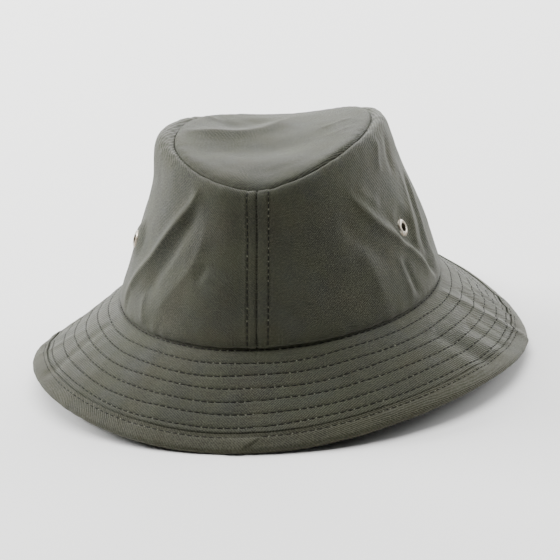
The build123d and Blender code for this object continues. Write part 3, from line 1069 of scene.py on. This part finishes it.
def brim():
    for side in ("right", "left"):
        for layer, depth, step in (("top", 0.0, GRID), ("under", UNDER_DEPTH, 1.8)):
            name, node = f"brim_{layer}_cloth_{side}", f"brim_{layer}_{side}"
            brim_panel(name, node, side, depth, BRIM_CLOTH, twill, True, step, -0.8)
        name, node = f"brim_interlining_{side}", "brim_interlining"
        brim_panel(name, node, side, 1.35, 0.3, interlining_cloth, False, 4.0, 3.0)
    binding()


# ---------------- thread


def bobbin_dots_and_glints(name, rows):
    """Pale dots at some of the needle holes: bobbin thread showing there, and painted glints of light
    catching the thread.
    """
    kept = []
    for middle, tangent, up, pitch in rows:
        keep = RNG.random(len(middle)) < 0.8
        kept.append(np.stack([middle + tangent * pitch / 2 + up * 0.1, up, tangent])[:, keep])
    centre, up, tangent = np.concatenate(kept, axis=1)
    side = unit(np.cross(up, tangent))
    size = (0.2 + 0.26 * RNG.random(len(centre)) ** 2)[:, None]
    shape = []
    for turn in np.arange(6) * math.pi / 3:
        shape.append(centre + (tangent * math.cos(turn) * 1.25 + side * math.sin(turn)) * size)
    shape += [centre + up * size * 0.75, centre - up * size * 0.6]
    index = np.arange(8 * len(centre)).reshape(8, -1)
    faces = []
    for k in range(6):
        after = (k + 1) % 6
        faces.append(np.stack([index[k], index[after], index[6]], -1))
        faces.append(np.stack([index[after], index[k], index[7]], -1))
    make_mesh(name, np.concatenate(shape), np.concatenate(faces).tolist(), bobbin_thread_and_glint)


def brim_thread():
    turn = np.linspace(0.0, 2 * math.pi, 1400)
    rows, under_rows = [], []
    for number, row in enumerate([EDGE_ROW, *brim_rows()]):
        reach = row_reach(turn, row)
        points, _ = brim_cloth(turn, reach)
        ups = brim_normal(turn, reach)
        under = points - ups * (UNDER_DEPTH + BRIM_CLOTH)
        rows.append(stitch_row(points, ups, QUILT_STITCH, 0.17 * number))
        under_rows.append(stitch_row(under, -ups, QUILT_STITCH, 0.17 * number))
    thread_piece("brim_quilting_thread", rows, THREAD_RADIUS, 0.86, -0.22)
    thread_piece("brim_quilting_thread_under", under_rows, THREAD_RADIUS, 0.86, -0.22)
    bobbin_dots_and_glints("brim_bobbin_thread_and_glints", rows)


def binding_thread():
    turn = np.linspace(0.0, 2 * math.pi, 1500)
    reach = np.full_like(turn, BINDING_EDGE + BINDING_ROW)
    relief, _ = brim_relief(turn, reach, False)
    ups = brim_normal(turn, reach)
    points = brim_base(turn, reach)
    pucker = BINDING_PUCKER * noise_field(points, 5.5, 21)
    top = points + ups * (relief + pucker + 0.1)[:, None]
    low = points + ups * (relief - BRIM_STACK - 0.3)[:, None]
    rows = [stitch_row(top, ups, QUILT_STITCH), stitch_row(low, -ups, QUILT_STITCH)]
    thread_piece("binding_thread", rows, THREAD_RADIUS, 0.86, -0.2)
    bobbin_dots_and_glints("binding_bobbin_thread_and_glints", rows[:1])


def crown_thread():
    rows = []
    rise = np.linspace(0.012, 0.975, 260)
    half_x = BASE_X * (1 - rise) + TIP_X * rise
    for base_turn, sign in ((0.0, 1), (math.pi, -1)):
        for offset in (-SEAM_ROWS[0], SEAM_ROWS[1]):
            turn = base_turn + sign * np.arcsin(offset / half_x)
            points, _ = crown_cloth(turn, rise)
            rows.append(stitch_row(points, wall_normal(turn, rise), SEAM_STITCH))
    thread_piece("crown_seam_thread", rows, 0.3, 0.78, -0.26)
    closing = []
    rise = np.linspace(0.012, 0.985, 260)
    for base_turn in (0.0, math.pi):
        turn = np.full_like(rise, base_turn)
        points, _ = crown_cloth(turn, rise)
        closing.append(stitch_row(points, wall_normal(turn, rise), 2.4))
    thread_piece("crown_closing_thread", closing, 0.22, 0.7, 0.02)
    bobbin_dots_and_glints("crown_bobbin_thread_and_glints", rows)


def band_thread():
    turn = np.linspace(0.0, 2 * math.pi, 900)
    rows = []
    for place in (3.4, 29.0):
        rise = np.full_like(turn, place / WALL_SLANT)
        points, _ = crown_cloth(turn, rise, BAND_DEPTH + 1.35, False)
        rows.append(stitch_row(points, -wall_normal(turn, rise), QUILT_STITCH))
    thread_piece("sweatband_thread", rows, 0.25, 0.8, 0.02)


# ---------------- camera, light, floor

PHOTO_WIDTH = 560
CAMERA_DISTANCE = 1500.0
PIXELS_PER_MM = 1.78
AZIMUTH = math.radians(8.26)
ELEVATION = math.radians(17.74)
ROLL = math.radians(-4.9)
AIM_HEIGHT = BASE_Z + 25.0
AIM_RIGHT = 1.65
AIM_UP = -22.9


def camera():
    data = bpy.data.cameras.new("camera")
    data.sensor_width = 36.0
    data.lens = PIXELS_PER_MM * CAMERA_DISTANCE / PHOTO_WIDTH * data.sensor_width
    data.clip_start = 0.1
    data.clip_end = 20.0
    eye = add_object("camera", data)
    level = math.cos(ELEVATION)
    back = Vector((math.sin(AZIMUTH) * level, -math.cos(AZIMUTH) * level, math.sin(ELEVATION)))
    right = Vector((math.cos(AZIMUTH), math.sin(AZIMUTH), 0))
    up = back.cross(right)
    rolled_right = right * math.cos(ROLL) + up * math.sin(ROLL)
    rolled_up = up * math.cos(ROLL) - right * math.sin(ROLL)
    middle = Vector((0, CENTRE_Y, AIM_HEIGHT))
    place = middle + back * CAMERA_DISTANCE
    look = (middle + rolled_right * AIM_RIGHT + rolled_up * AIM_UP - place).normalized()
    side = look.cross(rolled_up).normalized()
    eye.rotation_mode = "QUATERNION"
    eye.rotation_quaternion = Matrix((side, side.cross(look), -look)).transposed().to_quaternion()
    eye.location = place * MM
    bpy.context.scene.camera = eye


def area_light(name, place, size, power):
    """Rectangular lamp aimed at the hat; its place and size are in metres."""
    data = bpy.data.lights.new(name, "AREA")
    data.shape = "RECTANGLE"
    data.size, data.size_y = size
    data.energy = power
    lamp = add_object(name, data)
    lamp.location = place
    lamp.rotation_mode = "QUATERNION"
    lamp.rotation_quaternion = (Vector((0, 0, 0.08)) - Vector(place)).to_track_quat("-Z", "Y")


def studio():
    look = Look("floor_paper")
    look.fill(look.surface, {"Base Color": (0.9, 0.9, 0.89), "Roughness": 0.9})
    mesh = bpy.data.meshes.new("floor")
    mesh.from_pydata([(-6, -6, 0), (6, -6, 0), (6, 6, 0), (-6, 6, 0)], [], [(0, 1, 2, 3)])
    add_object("floor", mesh, look.material)
    world = bpy.data.worlds.new("studio")
    world.use_nodes = True
    world.node_tree.nodes["Background"].inputs["Color"].default_value = (0.96, 0.98, 1.0, 1)
    world.node_tree.nodes["Background"].inputs["Strength"].default_value = 0.06
    bpy.context.scene.world = world
    area_light("overhead", (-0.2, 0.3, 2.4), (2.6, 2.0), 106)
    area_light("back_box", (0.0, 3.0, 1.0), (4.4, 1.4), 190)
    area_light("left_box", (-2.2, 0.7, 1.2), (1.6, 1.0), 124)
    area_light("right_box", (2.2, 1.2, 1.0), (1.6, 1.2), 60)


# ---------------- make everything

camera()
studio()
crown()
lining()
sweatband()
label()
brim()
brim_thread()
binding_thread()
crown_thread()
band_thread()
for eyelet_node in EYELET_NODES:
    for node_name in (eyelet_node, eyelet_node.replace("eyelet_", "eyelet_washer_")):
        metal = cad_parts[node_name]
        for metal_slot in metal.material_slots:
            metal_slot.material = nickel
